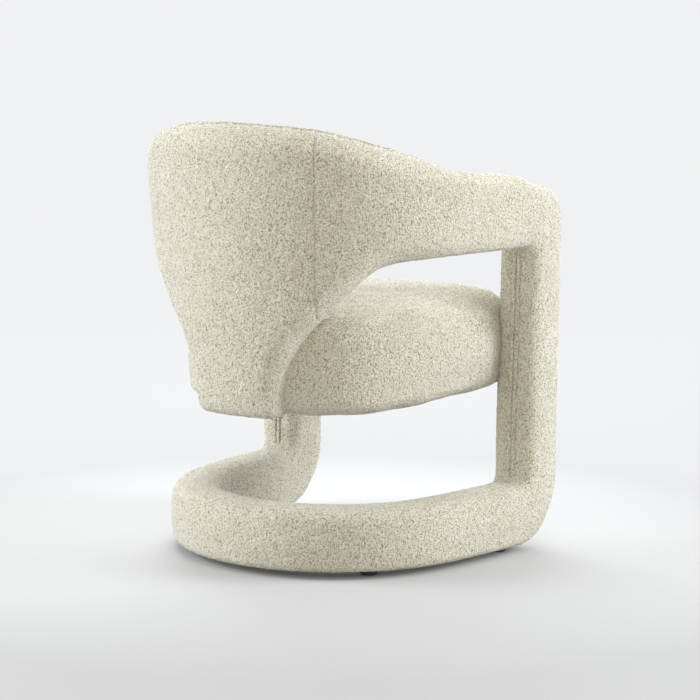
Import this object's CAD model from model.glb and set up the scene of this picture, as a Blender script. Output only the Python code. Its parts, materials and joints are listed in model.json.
import json
import math
import bpy
import numpy as np
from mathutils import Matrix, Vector, kdtree, noise
from mathutils.geometry import delaunay_2d_cdt

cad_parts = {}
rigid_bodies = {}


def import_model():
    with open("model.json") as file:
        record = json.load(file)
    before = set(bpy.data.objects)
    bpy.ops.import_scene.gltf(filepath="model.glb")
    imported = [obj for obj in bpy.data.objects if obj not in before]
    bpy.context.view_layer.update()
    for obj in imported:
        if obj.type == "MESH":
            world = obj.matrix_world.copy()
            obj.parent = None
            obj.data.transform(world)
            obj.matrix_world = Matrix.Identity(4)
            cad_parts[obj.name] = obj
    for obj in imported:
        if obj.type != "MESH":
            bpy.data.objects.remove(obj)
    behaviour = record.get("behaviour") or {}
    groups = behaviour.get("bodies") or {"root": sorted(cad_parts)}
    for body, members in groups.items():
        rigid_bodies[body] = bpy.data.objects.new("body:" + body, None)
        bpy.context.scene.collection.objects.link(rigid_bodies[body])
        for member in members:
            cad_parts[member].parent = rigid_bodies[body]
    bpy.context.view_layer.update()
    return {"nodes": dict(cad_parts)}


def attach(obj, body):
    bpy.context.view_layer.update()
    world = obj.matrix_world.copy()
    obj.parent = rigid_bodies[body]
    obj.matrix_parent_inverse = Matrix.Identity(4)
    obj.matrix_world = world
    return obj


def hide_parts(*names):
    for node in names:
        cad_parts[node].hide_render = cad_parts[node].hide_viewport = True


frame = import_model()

# Upholstered barrel armchair: the look of its covers, built round the CAD frame.
# Shapes are worked out in millimetres and written in metres.  "run" is the distance along the padded
# band's outer plan line from the rear centre, "up" the height, "deep" the distance in from the outer face.
MM = 0.001
RADIUS = 295.0
ANGLE = math.radians(79.0)
SIDE_RADIUS = 1240.0
RUN_ARC = RADIUS * ANGLE
RUN_FRONT = 725.0
POST_WIDTH = 100.0
RUN_POST = RUN_FRONT - POST_WIDTH
THICK = 86.0
SHIFT = -27.0
FLOOR_GAP = 12.0
RING_TOP = 118.0
ARM_UNDER = 544.0
CORNER_TOP = 62.0
CORNER_BOTTOM = 120.0
LEAN = 0.085
LEAN_START = 210.0
LEAN_SOFT = 60.0                  # height over which the lean sets in
LEAN_RUN = 790.0
INNER_ROUND = 16.0
PANEL_RUN = 160.0
STEM_BOTTOM = 270.0
TALLEST = 770                     # nothing on the band is higher
SEAT_TILT = math.radians(1.7)
SEAT_BOTTOM = 280.0
SEAT_TOP = 446.0
STEP = 3.2                        # spacing of the cover meshes
OUTLINE_STEP = 0.7                # spacing of the points that distances to the outlines are measured from
EDGE = 23.0                       # rounding of the band's edges
rng = np.random.default_rng(7)


# ---------------------------------------------------------------- outline of the band, unrolled
def monotone(xs, ys):
    """Monotone cubic curve through points, as a function of arrays."""
    xs = np.asarray(xs, float)
    ys = np.asarray(ys, float)
    slope = np.diff(ys) / np.diff(xs)
    tangent = np.concatenate([[slope[0]], np.zeros(len(xs) - 2), [slope[-1]]])
    for i in range(1, len(xs) - 1):
        if slope[i - 1] * slope[i] > 0:
            tangent[i] = 2 * slope[i - 1] * slope[i] / (slope[i - 1] + slope[i])

    def curve(x):
        x = np.clip(np.asarray(x, float), xs[0], xs[-1])
        i = np.clip(np.searchsorted(xs, x) - 1, 0, len(xs) - 2)
        w = xs[i + 1] - xs[i]
        t = (x - xs[i]) / w
        return (ys[i] * (1 + 2 * t) * (1 - t) ** 2 + ys[i + 1] * t * t * (3 - 2 * t)
                + w * tangent[i] * t * (1 - t) ** 2 - w * tangent[i + 1] * t * t * (1 - t))
    return curve


# heights of the band's top along its run
TOP_LINE = [(-150, 766), (0, 766), (145, 757), (290, 721.5), (435, 680), (580, 668), (RUN_POST, 656),
            (RUN_FRONT, 634)]
top_at = monotone(*zip(*TOP_LINE))
# (run, up) along the opening's rear edge: from the arm's underside, under the wing, down the stem
SWEEP = [(460, ARM_UNDER), (410, 543.5), (355, 541), (305, 537), (268, 528), (247, 515), (224, 496),
         (198, 474), (167, 443), (138, 414), (120, 387), (102, 352), (94, 328), (90, 300)]
STEM_RUN = 89.0


def between(t, low, high, first, last):
    """Straight blend of two values, the first at low and the last at high."""
    return (high - t) / (high - low) * first + (t - low) / (high - low) * last


def spline(points, count):
    """Open Catmull-Rom curve (centripetal) through points."""
    p = np.asarray(points, float)
    p = np.vstack([2 * p[0] - p[1], p, 2 * p[-1] - p[-2]])
    knots = np.concatenate([[0], np.cumsum(np.sqrt(np.linalg.norm(np.diff(p, axis=0), axis=1)))])
    out = []
    for i in range(1, len(p) - 2):
        k0, k1, k2, k3 = knots[i - 1:i + 3]
        t = np.linspace(k1, k2, count, endpoint=False)[:, None]
        first = between(t, k0, k1, p[i - 1], p[i])
        middle = between(t, k1, k2, p[i], p[i + 1])
        last = between(t, k2, k3, p[i + 1], p[i + 2])
        out.append(between(t, k1, k2, between(t, k0, k2, first, middle), between(t, k1, k3, middle, last)))
    out.append(p[-2:-1])
    return np.vstack(out)


def arc(centre, radius, first, last, count=24):
    """Points on an arc, angles in degrees."""
    a = np.radians(np.linspace(first, last, count))
    return np.stack([centre[0] + radius * np.cos(a), centre[1] + radius * np.sin(a)], 1)


def resample(points, spacing):
    """Points at even steps along a closed line."""
    p = np.vstack([points, points[:1]])
    length = np.concatenate([[0], np.cumsum(np.linalg.norm(np.diff(p, axis=0), axis=1))])
    keep = np.concatenate([[True], np.diff(length) > 1e-6])
    count = int(round(length[-1] / spacing))
    at = np.linspace(0, length[-1], count, endpoint=False)
    return np.stack([np.interp(at, length[keep], p[keep, k]) for k in (0, 1)], 1)


def mirrored(half):
    """Closed loop from its right half, which runs from the centre line back to the centre line."""
    left = half[::-1].copy()
    left[:, 0] *= -1
    return np.vstack([half, left[1:-1]])


corner_run = RUN_FRONT - CORNER_TOP
corner_up = float(top_at(corner_run)) - CORNER_TOP
tops = np.linspace(0, corner_run, 120)
OUTER = mirrored(np.vstack([
    np.stack([tops, top_at(tops)], 1),
    arc((corner_run, corner_up), CORNER_TOP, 86, 0),
    arc((RUN_FRONT - CORNER_BOTTOM, FLOOR_GAP + CORNER_BOTTOM), CORNER_BOTTOM, 0, -90, 40),
    [(0, FLOOR_GAP)]]))
TURN_RUN = RUN_POST - INNER_ROUND
STEM_CORNER = 20.0
HOLE = mirrored(np.vstack([
    [(0, RING_TOP)],
    arc((TURN_RUN, RING_TOP + INNER_ROUND), INNER_ROUND, -90, 0, 8),
    arc((TURN_RUN, ARM_UNDER - INNER_ROUND), INNER_ROUND, 0, 90, 8),
    spline(SWEEP, 12),
    arc((STEM_RUN - STEM_CORNER, STEM_BOTTOM + STEM_CORNER), STEM_CORNER, 0, -90, 10),
    [(0, STEM_BOTTOM)]]))
OUTER = resample(OUTER, STEP)
HOLE = resample(HOLE, STEP)


def place(run, deep, up):
    """Points in space, in millimetres, from unrolled coordinates."""
    run, deep, up = np.broadcast_arrays(run, deep, up)
    reach = np.abs(run)
    past = np.maximum(reach - RUN_ARC, 0)
    turn = np.minimum(reach, RUN_ARC) / RADIUS + past / SIDE_RADIUS
    back = SIDE_RADIUS - RADIUS
    on_arc = reach <= RUN_ARC
    x = np.where(on_arc, RADIUS * np.sin(turn), SIDE_RADIUS * np.sin(turn) - back * math.sin(ANGLE))
    y = np.where(on_arc, RADIUS * np.cos(turn), SIDE_RADIUS * np.cos(turn) - back * math.cos(ANGLE))
    fade = np.cos(np.minimum(reach / LEAN_RUN, 1) * np.pi / 2)
    # the lean starts softly
    rise = np.maximum(up - LEAN_START + LEAN_SOFT / 2, 0)
    lean = LEAN * np.where(rise < LEAN_SOFT, rise * rise / (2 * LEAN_SOFT), rise - LEAN_SOFT / 2) * fade
    out = lean - deep
    side = np.where(run < 0, -1.0, 1.0)
    return np.stack([side * (x + np.sin(turn) * out), y + np.cos(turn) * out + SHIFT, up], -1)


def inside(points):
    """Which unrolled points lie in the band."""
    def winding(loop):
        x, y = points[:, 0], points[:, 1]
        result = np.zeros(len(points), bool)
        for (x0, y0), (x1, y1) in zip(loop, np.roll(loop, -1, axis=0)):
            cross = (y0 > y) != (y1 > y)
            with np.errstate(divide="ignore", invalid="ignore"):
                result ^= cross & (x < (x1 - x0) * (y - y0) / (y1 - y0) + x0)
        return result
    return winding(OUTER) & ~winding(HOLE)


def outward(loop, sign):
    """Unit normals of a loop that point out of the band."""
    ahead = np.roll(loop, -1, axis=0) - np.roll(loop, 1, axis=0)
    normal = np.stack([ahead[:, 1], -ahead[:, 0]], 1)
    return sign * normal / np.linalg.norm(normal, axis=1)[:, None]


def area(loop):
    x, y = loop[:, 0], loop[:, 1]
    return 0.5 * np.sum(x * np.roll(y, -1) - np.roll(x, -1) * y)


normals = [outward(OUTER, math.copysign(1, area(OUTER))), outward(HOLE, -math.copysign(1, area(HOLE)))]
loops = [OUTER, HOLE]
dense = [resample(loop, OUTLINE_STEP) for loop in loops]
tree = kdtree.KDTree(sum(len(d) for d in dense))
for i, (u, v) in enumerate(np.vstack(dense)):
    tree.insert((u, v, 0), i)
tree.balance()


def edge_distance(points):
    return np.array([tree.find((u, v, 0))[2] for u, v in points])


# points: the two outlines, rows that follow them, then a staggered field
JITTER = 0.35                     # the field's points stray this far, so that no grid shows
LAYERS = (0.5, 1.6, 3.2, 5.4, 8.2, 11.4, 14.6, 17.8, 21.0, 24.2)
rows = []
for loop, normal in zip(loops, normals):
    for layer in LAYERS:
        rows.append((loop - normal * layer, layer))
layered = np.vstack([points for points, _ in rows])
layer_of = np.concatenate([np.full(len(points), layer) for points, layer in rows])
ok = inside(layered) & (edge_distance(layered) > layer_of - JITTER)
layered = layered[ok]
us = np.arange(-RUN_FRONT, RUN_FRONT, STEP)
vs = np.arange(FLOOR_GAP, TALLEST, STEP * 0.866)
gu, gv = np.meshgrid(us, vs)
gu = gu + (np.arange(len(vs)) % 2)[:, None] * STEP / 2
field = np.stack([gu.ravel(), gv.ravel()], 1)
field = field + rng.uniform(-JITTER, JITTER, field.shape)
field = field[inside(field)]
field = field[edge_distance(field) > LAYERS[-1] + STEP * 0.75]
SEAM_ROWS = (-4.2, -1.8, 0.0, 1.8, 4.2)   # columns of points along each back seam
SEAM_CLEAR = 1.6                  # room kept round them
SEAM_STEP = 2.4
SEAM_LOW = 425
SEAM_INSET = 1.4                  # they stop this far from the band's edge


def clear_of_seams(at):
    near = np.abs(np.abs(at[:, 0]) - PANEL_RUN) < SEAM_ROWS[-1] + SEAM_CLEAR
    return at[~near]


seam_ups = np.arange(SEAM_LOW, TALLEST, SEAM_STEP)
seams = np.array([(side * (PANEL_RUN + off), z) for side in (-1, 1) for off in SEAM_ROWS for z in seam_ups])
seams = seams[inside(seams)]
seams = seams[edge_distance(seams) > SEAM_INSET]
flat = np.vstack([OUTER, HOLE, clear_of_seams(layered), clear_of_seams(field), seams])
count_outer, count_hole = len(OUTER), len(HOLE)
edges = [(i, (i + 1) % count_outer) for i in range(count_outer)]
edges += [(count_outer + i, count_outer + (i + 1) % count_hole) for i in range(count_hole)]
verts2, _, faces2, orig, _, _ = delaunay_2d_cdt([Vector(p) for p in flat], edges, [], 0, 1e-4)
flat = np.array([tuple(v) for v in verts2])
tri = np.array([f for f in faces2 if len(f) == 3])
tri = tri[inside(flat[tri].mean(axis=1))]
first_of = {}
for new, olds in enumerate(orig):
    for old in olds:
        first_of.setdefault(old, new)
far_in = edge_distance(flat)


# ---------------------------------------------------------------- the padded band
def smoothstep(x, low, high):
    t = np.clip((x - low) / (high - low), 0, 1)
    return t * t * (3 - 2 * t)


def rounding(edge, radius):
    """How deep a rounded edge lies at a distance in from the outline."""
    e = np.clip(edge, 0, radius)
    return radius - np.sqrt(np.maximum(radius ** 2 - (radius - e) ** 2, 0))


EDGE_TOP = 17.0                   # added to the rounding along the top of the back
EDGE_SWEEP = 13.0                 # along the sweep under the wing
EDGE_RING = -9.0                  # and under the floor ring


def edge_radius(run, up):
    """Rounding of the band's edges: fullest along the top of the back, tightest under the floor ring."""
    reach = np.abs(run)
    top = smoothstep(up, 590, 700) * (1 - smoothstep(reach, 280, 520))
    sweep = smoothstep(up, 300, 380) * (1 - smoothstep(up, 560, 600)) * (1 - smoothstep(reach, 300, 420))
    under_ring = 1 - smoothstep(up, 20, 60)
    return EDGE + EDGE_TOP * top + EDGE_SWEEP * sweep + EDGE_RING * under_ring


def soft_noise(points, scale, seed):
    """Smooth noise of about -1..1 at points in millimetres."""
    offset = Vector((seed * 13.7, seed * 5.3, seed * 9.1))
    return np.array([noise.noise(Vector(p) / scale + offset) for p in points])


def groove(distance, depth, width):
    """A pinched seam: a sharp line between two soft shoulders."""
    return depth * np.exp(-np.abs(distance) / width)


CROWN_OUT = 3.4                   # the padding's crown on the band's outer face
CROWN_IN = 0.4                    # and on its inner face
CROWN_POST_OUT = 1.8              # added on the posts, outside
CROWN_POST_IN = 2.0               # and inside
PUFF = 1.1                        # slow unevenness of the padding
PUFF_SPAN = 46.0
PUFF_SEED, BAND_SEED, SEAT_SEED, PIPE_SEED = 1, 3, 11, 21
GROOVE_OUT = 3.4                  # depth of the back seams outside
GROOVE_IN = 2.6                   # and inside
GROOVE_WIDE = 2.4
run, up = flat[:, 0], flat[:, 1]
reach = np.abs(run)
full = smoothstep(far_in, 4, PUFF_SPAN)
back_seam = smoothstep(up, 415, 450)
puffs = soft_noise(np.stack([run, up, 0 * up], 1), PUFF_SPAN, PUFF_SEED) * full
edge = edge_radius(run, up)
crown_out = CROWN_OUT + CROWN_POST_OUT * smoothstep(reach, 560, 640)
crown_in = CROWN_IN + CROWN_POST_IN * smoothstep(reach, 600, 650)
outer_deep = (rounding(far_in, edge) - crown_out * full + PUFF * puffs
              + groove(reach - PANEL_RUN, GROOVE_OUT, GROOVE_WIDE) * back_seam)
inner_deep = (THICK - rounding(far_in, edge) + crown_in * full + PUFF * puffs
              - groove(reach - PANEL_RUN, GROOVE_IN, GROOVE_WIDE) * back_seam)
points = [place(run, outer_deep, up), place(run, inner_deep, up)]
triangles = [tri[:, ::-1], tri + len(flat)]
centre_run, centre_up = [flat[tri, axis].mean(axis=1) for axis in (0, 1)]
tri_runs, tri_ups = [centre_run, centre_run], [centre_up, centre_up]

# the rim between the two faces, slightly crowned
RIM_ROWS = 15
RIM_SWELL = 2.4                   # the rim's crown
RIM_MORE = 1.2                    # added above this height
RIM_HIGH = 600
PIPE = 4.6                        # radius of one cord of the twin piping
PIPE_LOW, PIPE_HIGH = RING_TOP + INNER_ROUND, ARM_UNDER - INNER_ROUND
CHANNEL_DEEP = 5.5                # the cords lie in a channel down each post's rear face
CHANNEL_WIDE = 1.9                # its half width, in cord radii
quads, quad_runs, quad_ups = [], [], []
count = 2 * len(flat)
for loop, normal, start in ((OUTER, normals[0], 0), (HOLE, normals[1], len(OUTER))):
    ids = np.array([first_of[start + i] for i in range(len(loop))])
    rows = [ids]
    for row in range(1, RIM_ROWS + 1):
        t = row / (RIM_ROWS + 1)
        loop_edge = edge_radius(loop[:, 0], loop[:, 1])
        deep = loop_edge + (THICK - 2 * loop_edge) * t
        on_post = (np.abs(loop[:, 0]) > RUN_POST - 2) & (np.abs(loop[:, 0]) < RUN_POST + 2) & (start > 0)
        fade_low = smoothstep(loop[:, 1], PIPE_LOW - 8, PIPE_LOW + 6)
        fade_high = 1 - smoothstep(loop[:, 1], PIPE_HIGH - 6, PIPE_HIGH + 8)
        channel = on_post * fade_low * fade_high
        hollow = np.exp(-((deep - THICK / 2) / (CHANNEL_WIDE * PIPE)) ** 4)
        crown = (RIM_SWELL + RIM_MORE * (loop[:, 1] > RIM_HIGH)) * math.sin(math.pi * t)
        swell = crown - CHANNEL_DEEP * channel * hollow
        at = loop + normal * swell[:, None]
        points.append(place(at[:, 0], deep, at[:, 1]))
        rows.append(count + np.arange(len(loop)))
        count += len(loop)
    rows.append(ids + len(flat))
    for near, far in zip(rows, rows[1:]):
        quad = np.stack([near, np.roll(near, -1), np.roll(far, -1), far], 1)
        ahead = np.roll(loop, -1, axis=0) - loop
        # the faces' winding follows the side that the band lies on
        if np.cross(ahead[0], normal[0]) > 0:
            quad = quad[:, ::-1]
        quads.append(quad)
        middle = (loop + np.roll(loop, -1, axis=0)) / 2
        quad_runs.append(middle[:, 0])
        quad_ups.append(middle[:, 1])
points = np.vstack(points)
quads = np.vstack(quads)
faces = np.vstack([np.stack([t[:, 0], t[:, 1], t[:, 2], t[:, 2]], 1) for t in triangles] + [quads])
face_run = np.concatenate(tri_runs + quad_runs)
face_up = np.concatenate(tri_ups + quad_ups)


def face_normals(at, corners):
    a, b, c, d = (at[corners[:, k]] for k in range(4))
    three = (corners[:, 2] == corners[:, 3])[:, None]
    return np.cross(c - a, d - b) + np.where(three, np.cross(b - a, c - a), 0)


def vertex_normals(at, corners):
    total = np.zeros_like(at)
    face = face_normals(at, corners)
    for k in range(4):
        np.add.at(total, corners[:, k], face)
    return total / np.maximum(np.linalg.norm(total, axis=1), 1e-9)[:, None]


LOOP_FINE, LOOP_PART = 2.7, 1.3   # span of one loop, and its part in the pile
KNOT_SPAN, KNOT_PART = 5.5, 0.5   # the same for a knot of loops
PILE = 1.2                        # how far loops stand out and sink in


def pile(at, seed):
    """Height of the fabric's loops at each vertex, about -1..1: close, knotty grains."""
    fine = soft_noise(at, LOOP_FINE, seed)
    coarse = soft_noise(at, KNOT_SPAN, seed + 1)
    return LOOP_PART * fine + KNOT_PART * coarse


smooth_normals = vertex_normals(points, faces)
height = pile(points, BAND_SEED)
points = points + smooth_normals * (PILE * height)[:, None]
true_normals = vertex_normals(points, faces)


def make(name, at, corners, height=None, normal=None):
    """Mesh object from points in millimetres and faces of four corners, the last repeated in triangles."""
    used, compact = np.unique(corners, return_inverse=True)
    compact = compact.reshape(corners.shape)
    mesh = bpy.data.meshes.new(name)
    listed = [tuple(f[:3]) if f[2] == f[3] else tuple(f) for f in compact.tolist()]
    mesh.from_pydata((at[used] * MM).tolist(), [], listed)
    mesh.shade_smooth()
    if height is not None:
        layer = mesh.attributes.new("pile", "FLOAT", "POINT")
        layer.data.foreach_set("value", height[used].astype(np.float32))
    if normal is not None:
        mesh.normals_split_custom_set_from_vertices(normal[used].tolist())
    made = bpy.data.objects.new(name, mesh)
    bpy.context.scene.collection.objects.link(made)
    return made


# the cover panel that each face belongs to: rear ring, side ring, back, arm or post
MID_HOLE = 200                    # a height between the ring's top and the foot of the back
far = np.abs(face_run)
low_part = face_up < MID_HOLE
which = np.select([low_part & (far < RUN_ARC), low_part & (far < TURN_RUN), far < PANEL_RUN, far < TURN_RUN],
                  [0, 1, 2, 3], 4)
left = face_run > 0
pieces = []
for number, stem, sides, nodes in (
        (0, "ring_pad_rear", 1, ("base_cover_rear", "base_foam_rear")),
        (1, "ring_pad", 2, ("base_cover", "base_foam")),
        (2, "back_pad", 1, ("back_cover", "back_foam")),
        (3, "arm_pad", 2, ("arm_cover", "arm_foam")),
        (4, "post_pad", 2, ("post_cover", "post_foam"))):
    for side in ((None,) if sides == 1 else ("left", "right")):
        chosen = which == number
        if side:
            chosen &= left if side == "left" else ~left
        name = stem + ("_" + side if side else "")
        piece = make(name, points, faces[chosen], height, true_normals)
        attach(piece, "root")
        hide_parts(*[node + ("_" + side if side else "") for node in nodes])
        pieces.append(piece)


# ---------------------------------------------------------------- the seat
# right half of the seat's outline, from the middle of the rear to the middle of the front
SEAT_HALF = [(0, 267), (190.0, 192.0), (247, 20), (248, -60), (248, -120), (246, -165), (238, -193),
             (226, -223), (194.8, -259.2), (101.9, -285.1), (0, -288)]


def closed_spline(knots, count):
    """Closed cubic spline through points, parameterised by chord length."""
    p = np.asarray(knots, float)
    n = len(p)
    h = np.linalg.norm(np.roll(p, -1, axis=0) - p, axis=1)
    before = np.roll(h, 1)
    matrix = np.zeros((n, n))
    rhs = np.zeros((n, 2))
    for i in range(n):
        matrix[i, i] = 2 * (before[i] + h[i])
        matrix[i, (i - 1) % n] = before[i]
        matrix[i, (i + 1) % n] = h[i]
        rhs[i] = 6 * ((p[(i + 1) % n] - p[i]) / h[i] - (p[i] - p[i - 1]) / before[i])
    bend = np.linalg.solve(matrix, rhs)
    out = []
    for i in range(n):
        j = (i + 1) % n
        t = np.linspace(0, h[i], count, endpoint=False)[:, None]
        cubic = ((h[i] - t) ** 3 * bend[i] + t ** 3 * bend[j]) / (6 * h[i])
        out.append(cubic + (p[i] / h[i] - bend[i] * h[i] / 6) * (h[i] - t)
                   + (p[j] / h[i] - bend[j] * h[i] / 6) * t)
    return np.vstack(out)


seat_loop = SEAT_HALF + [(-x, y) for x, y in SEAT_HALF[-2:0:-1]]
SEAT_STEP = 5.0                   # spacing of the seat's first mesh
seat_plan = resample(closed_spline(seat_loop, 40), SEAT_STEP)
seat_plan[:, 1] += SHIFT
SEAT_ROUND = 40.0
SEAT_FOOT = 18.0                  # rounding of the lower edge
START_IN = 3.0                    # the pad starts this much smaller, then swells
START_UP = 3.5                    # and its underside this much higher
SEAT_CROWN = 6.0                  # rise of the top towards its middle
SEAT_VOXEL = 0.0055               # metres: the even mesh that is inflated


def seat_profile():
    """(inset, height) pairs from the middle of the underside, up the side, to the middle of the top."""
    low = [(SEAT_FOOT * (1 - math.sin(a)), SEAT_BOTTOM + START_UP + SEAT_FOOT * (1 - math.cos(a)))
           for a in np.radians(np.linspace(0, 90, 6))]
    high = [(SEAT_ROUND * (1 - math.cos(a)), SEAT_TOP - SEAT_ROUND + SEAT_ROUND * math.sin(a))
            for a in np.radians(np.linspace(0, 90, 10))]
    return low, high


def seat_mesh():
    centre = seat_plan.mean(axis=0)
    normal = outward(seat_plan, math.copysign(1, area(seat_plan)))
    low, high = seat_profile()
    rings = []
    for t in np.linspace(0.1, 1, 10):
        base_ring = centre + (seat_plan - normal * (SEAT_FOOT + START_IN) - centre) * t
        rings.append(np.column_stack([base_ring, np.full(len(base_ring), SEAT_BOTTOM + START_UP)]))
    for inset, z in low[1:]:
        ring = seat_plan - normal * (inset + START_IN)
        rings.append(np.column_stack([ring, np.full(len(ring), z)]))
    for z in np.linspace(low[-1][1], high[0][1], 16)[1:-1]:
        ring = seat_plan - normal * START_IN
        rings.append(np.column_stack([ring, np.full(len(ring), z)]))
    for inset, z in high:
        ring = seat_plan - normal * (inset + START_IN)
        rings.append(np.column_stack([ring, np.full(len(ring), z - START_IN)]))
    edge_ring = seat_plan - normal * (SEAT_ROUND + START_IN)
    for t in np.linspace(1, 0.08, 14)[1:]:
        ring = centre + (edge_ring - centre) * t
        z = SEAT_TOP - START_IN + SEAT_CROWN * (1 - t * t)
        rings.append(np.column_stack([ring, np.full(len(ring), z)]))
    low_middle = [[centre[0], centre[1], SEAT_BOTTOM + START_UP]]
    top_middle = [[centre[0], centre[1], SEAT_TOP + 2.0]]
    at = np.vstack([low_middle, *rings, top_middle])
    n = len(seat_plan)
    quads = []
    for r in range(len(rings) - 1):
        a = 1 + r * n + np.arange(n)
        b = a + n
        quads.append(np.stack([a, np.roll(a, -1), np.roll(b, -1), b], 1))
    first = 1 + np.arange(n)
    last = 1 + (len(rings) - 1) * n + np.arange(n)
    quads.append(np.stack([np.zeros(n, int), np.roll(first, -1), first, first], 1))
    end = np.full(n, len(at) - 1)
    quads.append(np.stack([last, np.roll(last, -1), end, end], 1))
    corners = np.vstack(quads)
    if area(seat_plan) < 0:
        corners = corners[:, ::-1]
        corners = np.where((corners[:, 0] == corners[:, 1])[:, None], corners[:, [2, 3, 0, 0]], corners)
    return at, corners


def arrays(o):
    """Points in millimetres and faces of an object's mesh."""
    mesh = o.data
    at = np.empty(3 * len(mesh.vertices), np.float32)
    mesh.vertices.foreach_get("co", at)
    corners = []
    for polygon in mesh.polygons:
        ids = list(polygon.vertices)
        corners.append(ids if len(ids) == 4 else ids + ids[-1:])
    return at.reshape(-1, 3).astype(float) / MM, np.array(corners)


def apply_modifiers(o):
    """The object's mesh becomes what its modifiers make of it."""
    bpy.context.view_layer.update()
    done = bpy.data.meshes.new_from_object(o.evaluated_get(bpy.context.evaluated_depsgraph_get()))
    o.modifiers.clear()
    old, o.data = o.data, done
    bpy.data.meshes.remove(old)


EVEN_STEPS = 25                   # smoothing steps of the cloth's movement


def inflate(o, pressure, frames, cap):
    """Cloth under pressure: swells the pad, tightest across its edges, by at most cap millimetres."""
    before, _ = arrays(o)
    cloth = o.modifiers.new("Cloth", "CLOTH")
    settings = cloth.settings
    settings.use_pressure = True
    settings.uniform_pressure_force = pressure
    settings.effector_weights.gravity = 0
    settings.quality = 6
    settings.tension_stiffness = 40
    settings.compression_stiffness = 40
    settings.shear_stiffness = 15
    settings.bending_stiffness = 2
    settings.mass = 0.4
    settings.shrink_min = -0.004
    cloth.collision_settings.use_collision = False
    scene = bpy.context.scene
    cloth.point_cache.frame_start = 1
    cloth.point_cache.frame_end = frames
    for frame_number in range(1, frames + 1):
        scene.frame_set(frame_number)
    apply_modifiers(o)
    scene.frame_set(1)
    after, corners = arrays(o)
    move = after - before
    size = np.linalg.norm(move, axis=1)
    move *= np.minimum(1, cap / np.maximum(size, 1e-6))[:, None]
    # the padding under the cloth evens out its folds
    count = np.zeros(len(before))
    for k in range(4):
        np.add.at(count, corners[:, k], 2)
    for _ in range(EVEN_STEPS):
        total = np.zeros_like(move)
        for k in range(4):
            np.add.at(total, corners[:, k], move[corners[:, (k + 1) % 4]] + move[corners[:, k - 1]])
        move = 0.5 * move + 0.5 * total / count[:, None]
    o.data.vertices.foreach_set("co", ((before + move) * MM).astype(np.float32).ravel())


seat_at, seat_corners = seat_mesh()
seat = make("seat_pad", seat_at, seat_corners)
remesh = seat.modifiers.new("Remesh", "REMESH")
remesh.mode = "VOXEL"
remesh.voxel_size = SEAT_VOXEL
apply_modifiers(seat)
inflate(seat, pressure=4.0, frames=20, cap=11.0)
seat.modifiers.new("Subdivision", "SUBSURF").levels = 1
apply_modifiers(seat)
at, corners = arrays(seat)
bpy.data.objects.remove(seat)


# tilt: front edge up, about the foot of the seat's middle
def tilted(at):
    y, z = at[:, 1] - SHIFT, at[:, 2] - SEAT_BOTTOM
    out = at.copy()
    out[:, 1] = y * math.cos(SEAT_TILT) + z * math.sin(SEAT_TILT) + SHIFT
    out[:, 2] = -y * math.sin(SEAT_TILT) + z * math.cos(SEAT_TILT) + SEAT_BOTTOM
    return out


at = tilted(at)
smooth = vertex_normals(at, corners)
height_seat = pile(at, SEAT_SEED)
at = at + smooth * (PILE * height_seat)[:, None]
seat = make("seat_pad", at, corners, height_seat)
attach(seat, "root")
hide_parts("seat_cover_top", "seat_cover_side", "seat_cushion", "seat_under_foam")
pieces.append(seat)


# ---------------------------------------------------------------- twin piping down the rear face of each post
PIPE_PAST = 6                     # the cords run on a little into the opening's corners
PIPE_OUT = 0.8                    # their middle lies this far behind the post's rear line
PIPE_PILE = 0.7                   # the cords' cover is tighter than the panels
PIPE_STEP, PIPE_SIDES = 2.2, 14
PIPE_TIP = 0.2                    # radius at the very ends
PIPE_GAP = 0.1                    # half the room between the two cords


def piping(side):
    """Two covered cords, side by side, as one mesh of tubes with rounded ends."""
    at, corners = [], []
    ups = np.arange(PIPE_LOW - PIPE_PAST, PIPE_HIGH + PIPE_PAST, PIPE_STEP)
    around = PIPE_SIDES
    for cord in (-1, 1):
        for z in ups:
            end = min(z - ups[0], ups[-1] - z)
            radius = max(PIPE * math.sqrt(1 - (1 - min(end / PIPE, 1)) ** 2), PIPE_TIP)
            for k in range(around):
                a = 2 * math.pi * k / around
                at.append(place(side * (RUN_POST + PIPE_OUT + radius * math.sin(a)),
                                THICK / 2 + cord * (PIPE + PIPE_GAP) + radius * math.cos(a), z))
        first = (len(at) // around - len(ups)) * around
        for row in range(len(ups) - 1):
            for k in range(around):
                a, b = first + row * around + k, first + row * around + (k + 1) % around
                corners.append((a, b, b + around, a + around) if side > 0 else (a, a + around, b + around, b))
    at, corners = np.array(at), np.array(corners)
    height = pile(at, PIPE_SEED)
    at = at + vertex_normals(at, corners) * (PIPE_PILE * height)[:, None]
    return make("post_piping_" + ("left" if side > 0 else "right"), at, corners, height)


for side, word in ((1, "left"), (-1, "right")):
    piece = piping(side)
    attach(piece, "root")
    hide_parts("post_welt_" + word)
    pieces.append(piece)


# ---------------------------------------------------------------- materials
def material(name):
    """A new node material: (material, nodes, links, its Principled shader)."""
    made = bpy.data.materials.new(name)
    made.use_nodes = True
    tree = made.node_tree
    shader = tree.nodes["Principled BSDF"]
    return made, tree.nodes, tree.links, shader


def ramp(nodes, stops):
    """Colour ramp with (place, (r, g, b)) stops."""
    node = nodes.new("ShaderNodeValToRGB")
    line = node.color_ramp
    line.elements[0].position, line.elements[0].color = stops[0][0], (*stops[0][1], 1)
    line.elements[1].position, line.elements[1].color = stops[-1][0], (*stops[-1][1], 1)
    for place_at, colour in stops[1:-1]:
        line.elements.new(place_at).color = (*colour, 1)
    return node


def mapped(nodes, links, scale=(1.0, 1.0, 1.0)):
    """Object coordinates in metres, scaled."""
    where = nodes.new("ShaderNodeTexCoord")
    mapping = nodes.new("ShaderNodeMapping")
    mapping.inputs["Scale"].default_value = scale
    links.new(where.outputs["Object"], mapping.inputs["Vector"])
    return mapping.outputs["Vector"]


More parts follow.
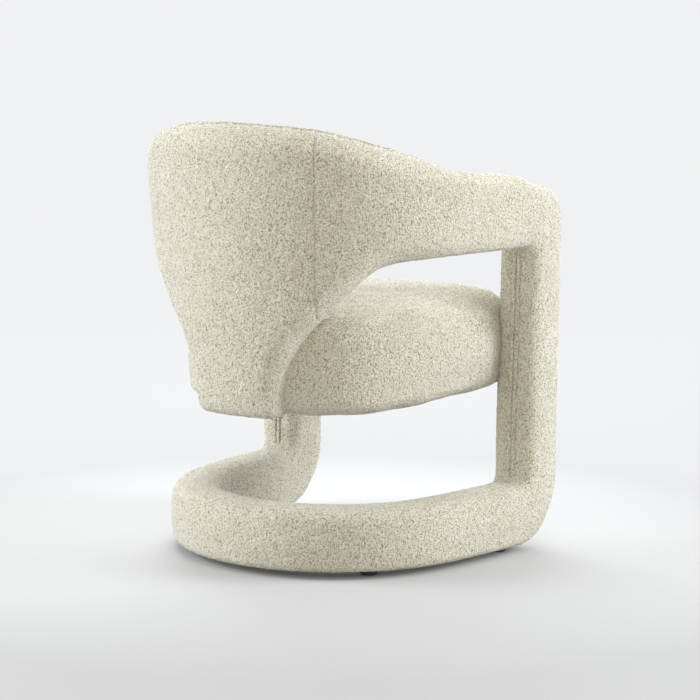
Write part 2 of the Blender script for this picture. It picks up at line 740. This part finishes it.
def noise_node(nodes, links, where, scale, detail=2.0, rough=0.5, distortion=0.0):
    node = nodes.new("ShaderNodeTexNoise")
    node.inputs["Scale"].default_value = scale
    node.inputs["Detail"].default_value = detail
    node.inputs["Roughness"].default_value = rough
    node.inputs["Distortion"].default_value = distortion
    links.new(where, node.inputs["Vector"])
    return node


def maths(nodes, links, operation, first, second=None, third=None):
    """One math node; numbers are set on it, sockets linked to it."""
    node = nodes.new("ShaderNodeMath")
    node.operation = operation
    for index, value in enumerate((first, second, third)):
        if value is None:
            continue
        if isinstance(value, (int, float)):
            node.inputs[index].default_value = value
        else:
            links.new(value, node.inputs[index])
    return node.outputs[0]


LOOPS_PER_METRE = 350.0
LOOP_STRAY = 0.003                # metres: how far a loop may be pushed off its place
LOOP_RELIEF = 0.0034


def boucle():
    """Looped wool in cream: round loops about 3 mm across, with darker pits between them."""
    made, nodes, links, shader = material("boucle_cream")
    where = mapped(nodes, links)
    warp = noise_node(nodes, links, where, 130.0, 1.0)
    offset = nodes.new("ShaderNodeVectorMath")
    offset.operation = "MULTIPLY_ADD"
    links.new(warp.outputs["Color"], offset.inputs[0])
    offset.inputs[1].default_value = (LOOP_STRAY, LOOP_STRAY, LOOP_STRAY)
    links.new(where, offset.inputs[2])
    curls = nodes.new("ShaderNodeTexVoronoi")
    curls.feature = "F1"
    curls.inputs["Scale"].default_value = LOOPS_PER_METRE
    curls.inputs["Randomness"].default_value = 0.72
    links.new(offset.outputs[0], curls.inputs["Vector"])
    strands = noise_node(nodes, links, offset.outputs[0], 420.0, 2.0, 0.6, 0.8)
    ridge = maths(nodes, links, "SUBTRACT", strands.outputs["Fac"], 0.5)
    ridge = maths(nodes, links, "ABSOLUTE", ridge)
    ridge = maths(nodes, links, "MULTIPLY_ADD", ridge, -5.5, 1.0)
    loop = maths(nodes, links, "MULTIPLY_ADD", curls.outputs["Distance"], -2.1, 1.80)
    loop = maths(nodes, links, "MINIMUM", loop, 1.0)
    pile_height = nodes.new("ShaderNodeAttribute")
    pile_height.attribute_name = "pile"
    # height of the fabric: loops, the strands on them, and the pile of the mesh
    body = maths(nodes, links, "MULTIPLY_ADD", loop, 0.66, maths(nodes, links, "MULTIPLY", ridge, 0.34))
    body = maths(nodes, links, "MULTIPLY_ADD", pile_height.outputs["Fac"], 0.14, body)
    colour = ramp(nodes, [(0.16, (0.340, 0.275, 0.150)), (0.42, (0.535, 0.468, 0.300)),
                          (0.66, (0.720, 0.672, 0.518)), (0.94, (0.900, 0.882, 0.812))])
    links.new(body, colour.inputs["Fac"])
    drift = noise_node(nodes, links, where, 9.0, 3.0)
    tint = nodes.new("ShaderNodeMix")
    tint.data_type = "RGBA"
    tint.blend_type = "MULTIPLY"
    tint.inputs["Factor"].default_value = 0.35
    links.new(colour.outputs["Color"], tint.inputs["A"])
    shade = ramp(nodes, [(0.35, (0.90, 0.89, 0.86)), (0.65, (1.0, 1.0, 1.0))])
    links.new(drift.outputs["Fac"], shade.inputs["Fac"])
    links.new(shade.outputs["Color"], tint.inputs["B"])
    links.new(tint.outputs["Result"], shader.inputs["Base Color"])
    shader.inputs["Roughness"].default_value = 0.92
    shader.inputs["Specular IOR Level"].default_value = 0.15
    shader.inputs["Sheen Weight"].default_value = 0.55
    shader.inputs["Sheen Roughness"].default_value = 0.45
    shader.inputs["Sheen Tint"].default_value = (1.0, 1.0, 0.98, 1)
    bump = nodes.new("ShaderNodeBump")
    bump.inputs["Strength"].default_value = 1.0
    bump.inputs["Distance"].default_value = LOOP_RELIEF
    links.new(body, bump.inputs["Height"])
    links.new(bump.outputs["Normal"], shader.inputs["Normal"])
    return made


VARY = 0.12                       # a plain finish gets this much lighter and darker
RUB = 0.08                        # and this much rougher and smoother


def plain(name, colour, rough, metallic=0.0, grain=60.0, bump_depth=0.0002, stretch=(1.0, 1.0, 1.0)):
    """Everyday material with fine colour variation and relief."""
    made, nodes, links, shader = material(name)
    where = mapped(nodes, links, stretch)
    fleck = noise_node(nodes, links, where, grain, 4.0, 0.6, 0.4)
    low = tuple(c * (1 - VARY) for c in colour)
    high = tuple(min(c * (1 + VARY), 1) for c in colour)
    tone = ramp(nodes, [(0.35, low), (0.65, high)])
    links.new(fleck.outputs["Fac"], tone.inputs["Fac"])
    links.new(tone.outputs["Color"], shader.inputs["Base Color"])
    rub = nodes.new("ShaderNodeMapRange")
    rub.inputs["To Min"].default_value = rough - RUB
    rub.inputs["To Max"].default_value = min(rough + RUB, 1.0)
    links.new(fleck.outputs["Fac"], rub.inputs["Value"])
    links.new(rub.outputs["Result"], shader.inputs["Roughness"])
    shader.inputs["Metallic"].default_value = metallic
    bump = nodes.new("ShaderNodeBump")
    bump.inputs["Strength"].default_value = 0.5
    bump.inputs["Distance"].default_value = bump_depth
    links.new(fleck.outputs["Fac"], bump.inputs["Height"])
    links.new(bump.outputs["Normal"], shader.inputs["Normal"])
    return made


def woven_black():
    """Black lining cloth: a fine plain weave."""
    made, nodes, links, shader = material("lining_cloth_black")
    where = mapped(nodes, links)
    waves = []
    for direction in ("X", "Y"):
        wave = nodes.new("ShaderNodeTexWave")
        wave.wave_type = "BANDS"
        wave.bands_direction = direction
        wave.inputs["Scale"].default_value = 180.0
        wave.inputs["Distortion"].default_value = 0.4
        links.new(where, wave.inputs["Vector"])
        waves.append(wave.outputs["Fac"])
    weave = maths(nodes, links, "MULTIPLY", *waves)
    tone = ramp(nodes, [(0.1, (0.008, 0.008, 0.009)), (0.9, (0.030, 0.030, 0.032))])
    links.new(weave, tone.inputs["Fac"])
    links.new(tone.outputs["Color"], shader.inputs["Base Color"])
    shader.inputs["Roughness"].default_value = 0.9
    bump = nodes.new("ShaderNodeBump")
    bump.inputs["Strength"].default_value = 0.4
    bump.inputs["Distance"].default_value = 0.0003
    links.new(weave, bump.inputs["Height"])
    links.new(bump.outputs["Normal"], shader.inputs["Normal"])
    return made


fabric = boucle()
for piece in pieces:
    piece.data.materials.append(fabric)
black_cloth = woven_black()
black_plastic = plain("glide_plastic_black", (0.016, 0.016, 0.017), 0.45, grain=400.0)
steel = plain("zinc_steel", (0.55, 0.55, 0.56), 0.35, metallic=1.0, grain=300.0, bump_depth=0.00005)
wood = plain("pale_hardwood", (0.52, 0.36, 0.20), 0.6, grain=14.0, stretch=(1.0, 8.0, 8.0))
ply = plain("birch_plywood", (0.62, 0.47, 0.29), 0.65, grain=20.0, stretch=(1.0, 1.0, 30.0))
foam = plain("upholstery_foam", (0.72, 0.66, 0.42), 0.95, grain=500.0, bump_depth=0.0006)
FINISH = {"glides": black_plastic, "base_sole_cloth": black_cloth, "seat_dust_cloth": black_cloth}
for name, node in frame["nodes"].items():
    finish = FINISH.get(name)
    if finish is None:
        if "screw" in name or "bolt" in name:
            finish = steel
        elif "foam" in name or "cushion" in name:
            finish = foam
        elif "cover" in name:
            finish = fabric
        elif "shell" in name or "plate" in name or "deck" in name:
            finish = ply
        else:
            finish = wood
    for o in [node, *node.children_recursive]:
        if o.type == "MESH":
            if not o.material_slots:
                o.data.materials.append(finish)
            for holder in o.material_slots:
                holder.material = finish


# ---------------------------------------------------------------- studio
# the camera stands behind the chair, to the sitter's right
TARGET = Vector((0.0, -0.027, 0.3605))
HEADING, RISE, DISTANCE = math.radians(37.583), math.radians(7.843), 4.1473
FLOOR_NEAR = 7.0                  # metres from the chair: the floor's reach on the camera's side
FLOOR_WIDE = 8.0                  # and across
CURVE_START = 4.3                 # beyond the chair, where it starts to curve up
CURVE_ROUND = 1.2
WALL_HIGH = 6.5


def studio_floor():
    """Pale sweep: a floor that curves up into a backdrop on the chair's far side."""
    profile = [(-FLOOR_NEAR, 0.0)]
    for a in np.linspace(0, math.pi / 2, 16):
        profile.append((CURVE_START + CURVE_ROUND * math.sin(a), CURVE_ROUND - CURVE_ROUND * math.cos(a)))
    profile.append((CURVE_START + CURVE_ROUND, WALL_HIGH))
    ahead = Vector((math.sin(HEADING), -math.cos(HEADING), 0))
    across = Vector((ahead.y, -ahead.x, 0))
    at, quads = [], []
    for d, z in profile:
        for s in (-FLOOR_WIDE, FLOOR_WIDE):
            at.append(ahead * d + across * s + Vector((0, 0, z)))
    for i in range(len(profile) - 1):
        quads.append((2 * i, 2 * i + 1, 2 * i + 3, 2 * i + 2))
    mesh = bpy.data.meshes.new("floor")
    mesh.from_pydata([tuple(p) for p in at], [], quads)
    mesh.shade_smooth()
    made = bpy.data.objects.new("floor", mesh)
    bpy.context.scene.collection.objects.link(made)
    return made


def studio_paper():
    """Pale paper: it takes the chair's shadow near the middle, and glows evenly further out."""
    made, nodes, links, shader = material("studio_paper")
    where = nodes.new("ShaderNodeTexCoord")
    distance = nodes.new("ShaderNodeVectorMath")
    distance.operation = "LENGTH"
    links.new(where.outputs["Object"], distance.inputs[0])
    fade = nodes.new("ShaderNodeMapRange")
    fade.inputs["From Min"].default_value = 0.3
    fade.inputs["From Max"].default_value = 2.6
    links.new(distance.outputs["Value"], fade.inputs["Value"])
    tone = ramp(nodes, [(0.0, (0.47, 0.47, 0.47)), (0.26, (0.235, 0.235, 0.235)), (1.0, (0.01, 0.01, 0.01))])
    glow = ramp(nodes, [(0.0, (0.01, 0.01, 0.01)), (0.26, (0.27, 0.27, 0.27)), (1.0, (0.865, 0.870, 0.885))])
    links.new(fade.outputs["Result"], tone.inputs["Fac"])
    links.new(fade.outputs["Result"], glow.inputs["Fac"])
    links.new(tone.outputs["Color"], shader.inputs["Base Color"])
    links.new(glow.outputs["Color"], shader.inputs["Emission Color"])
    shader.inputs["Emission Strength"].default_value = 1.0
    shader.inputs["Roughness"].default_value = 1.0
    shader.inputs["Specular IOR Level"].default_value = 0.0
    return made


floor = studio_floor()
floor.data.materials.append(studio_paper())

scene = bpy.context.scene
world = bpy.data.worlds.new("studio")
scene.world = world
world.use_nodes = True
world.node_tree.nodes["Background"].inputs["Color"].default_value = (0.97, 0.98, 1.0, 1)
world.node_tree.nodes["Background"].inputs["Strength"].default_value = 0.54


def soft_light(name, at, target, size, power, colour=(1, 1, 1)):
    lamp = bpy.data.lights.new(name, "AREA")
    lamp.shape = "RECTANGLE"
    lamp.size, lamp.size_y = size
    lamp.energy = power
    lamp.color = colour
    made = bpy.data.objects.new(name, lamp)
    made.location = at
    made.rotation_euler = (Vector(target) - Vector(at)).to_track_quat("-Z", "Y").to_euler()
    scene.collection.objects.link(made)


view_from = Vector((-math.sin(HEADING) * math.cos(RISE), math.cos(HEADING) * math.cos(RISE), math.sin(RISE)))
camera_right = Vector((-math.cos(HEADING), -math.sin(HEADING), 0))
lens = bpy.data.cameras.new("camera")
lens.sensor_width = 36.0
lens.lens = 119.0
lens.shift_x, lens.shift_y = 0.0189, -0.0065
lens.clip_end = 50
camera = bpy.data.objects.new("camera", lens)
camera.location = TARGET + view_from * DISTANCE
camera.rotation_euler = view_from.to_track_quat("Z", "Y").to_euler()
scene.collection.objects.link(camera)
scene.camera = camera

middle = Vector((0, 0, 0.35))
SIDE_WHITE = (0.93, 0.97, 1.0)
FRONT_WARM = (1.0, 0.90, 0.68)


def lit_from(beside, behind, above):
    """A lamp's place, in metres from the chair's middle as the camera sees it."""
    return middle + camera_right * beside + view_from * behind + Vector((0, 0, above))


soft_light("right", lit_from(3.0, 0.2, 0.9), middle, (1.6, 2.2), 124, SIDE_WHITE)
soft_light("left", lit_from(-3.0, -0.2, 0.7), middle, (1.6, 2.2), 128, SIDE_WHITE)
soft_light("back", lit_from(0, -2.6, 1.9), middle, (2.6, 1.6), 114, SIDE_WHITE)
soft_light("top", lit_from(0, 0, 2.4), middle, (2.2, 2.2), 34)
soft_light("front", lit_from(0, 3.4, 0.3), middle, (2.4, 2.0), 38, FRONT_WARM)
scene.view_settings.view_transform = "Standard"
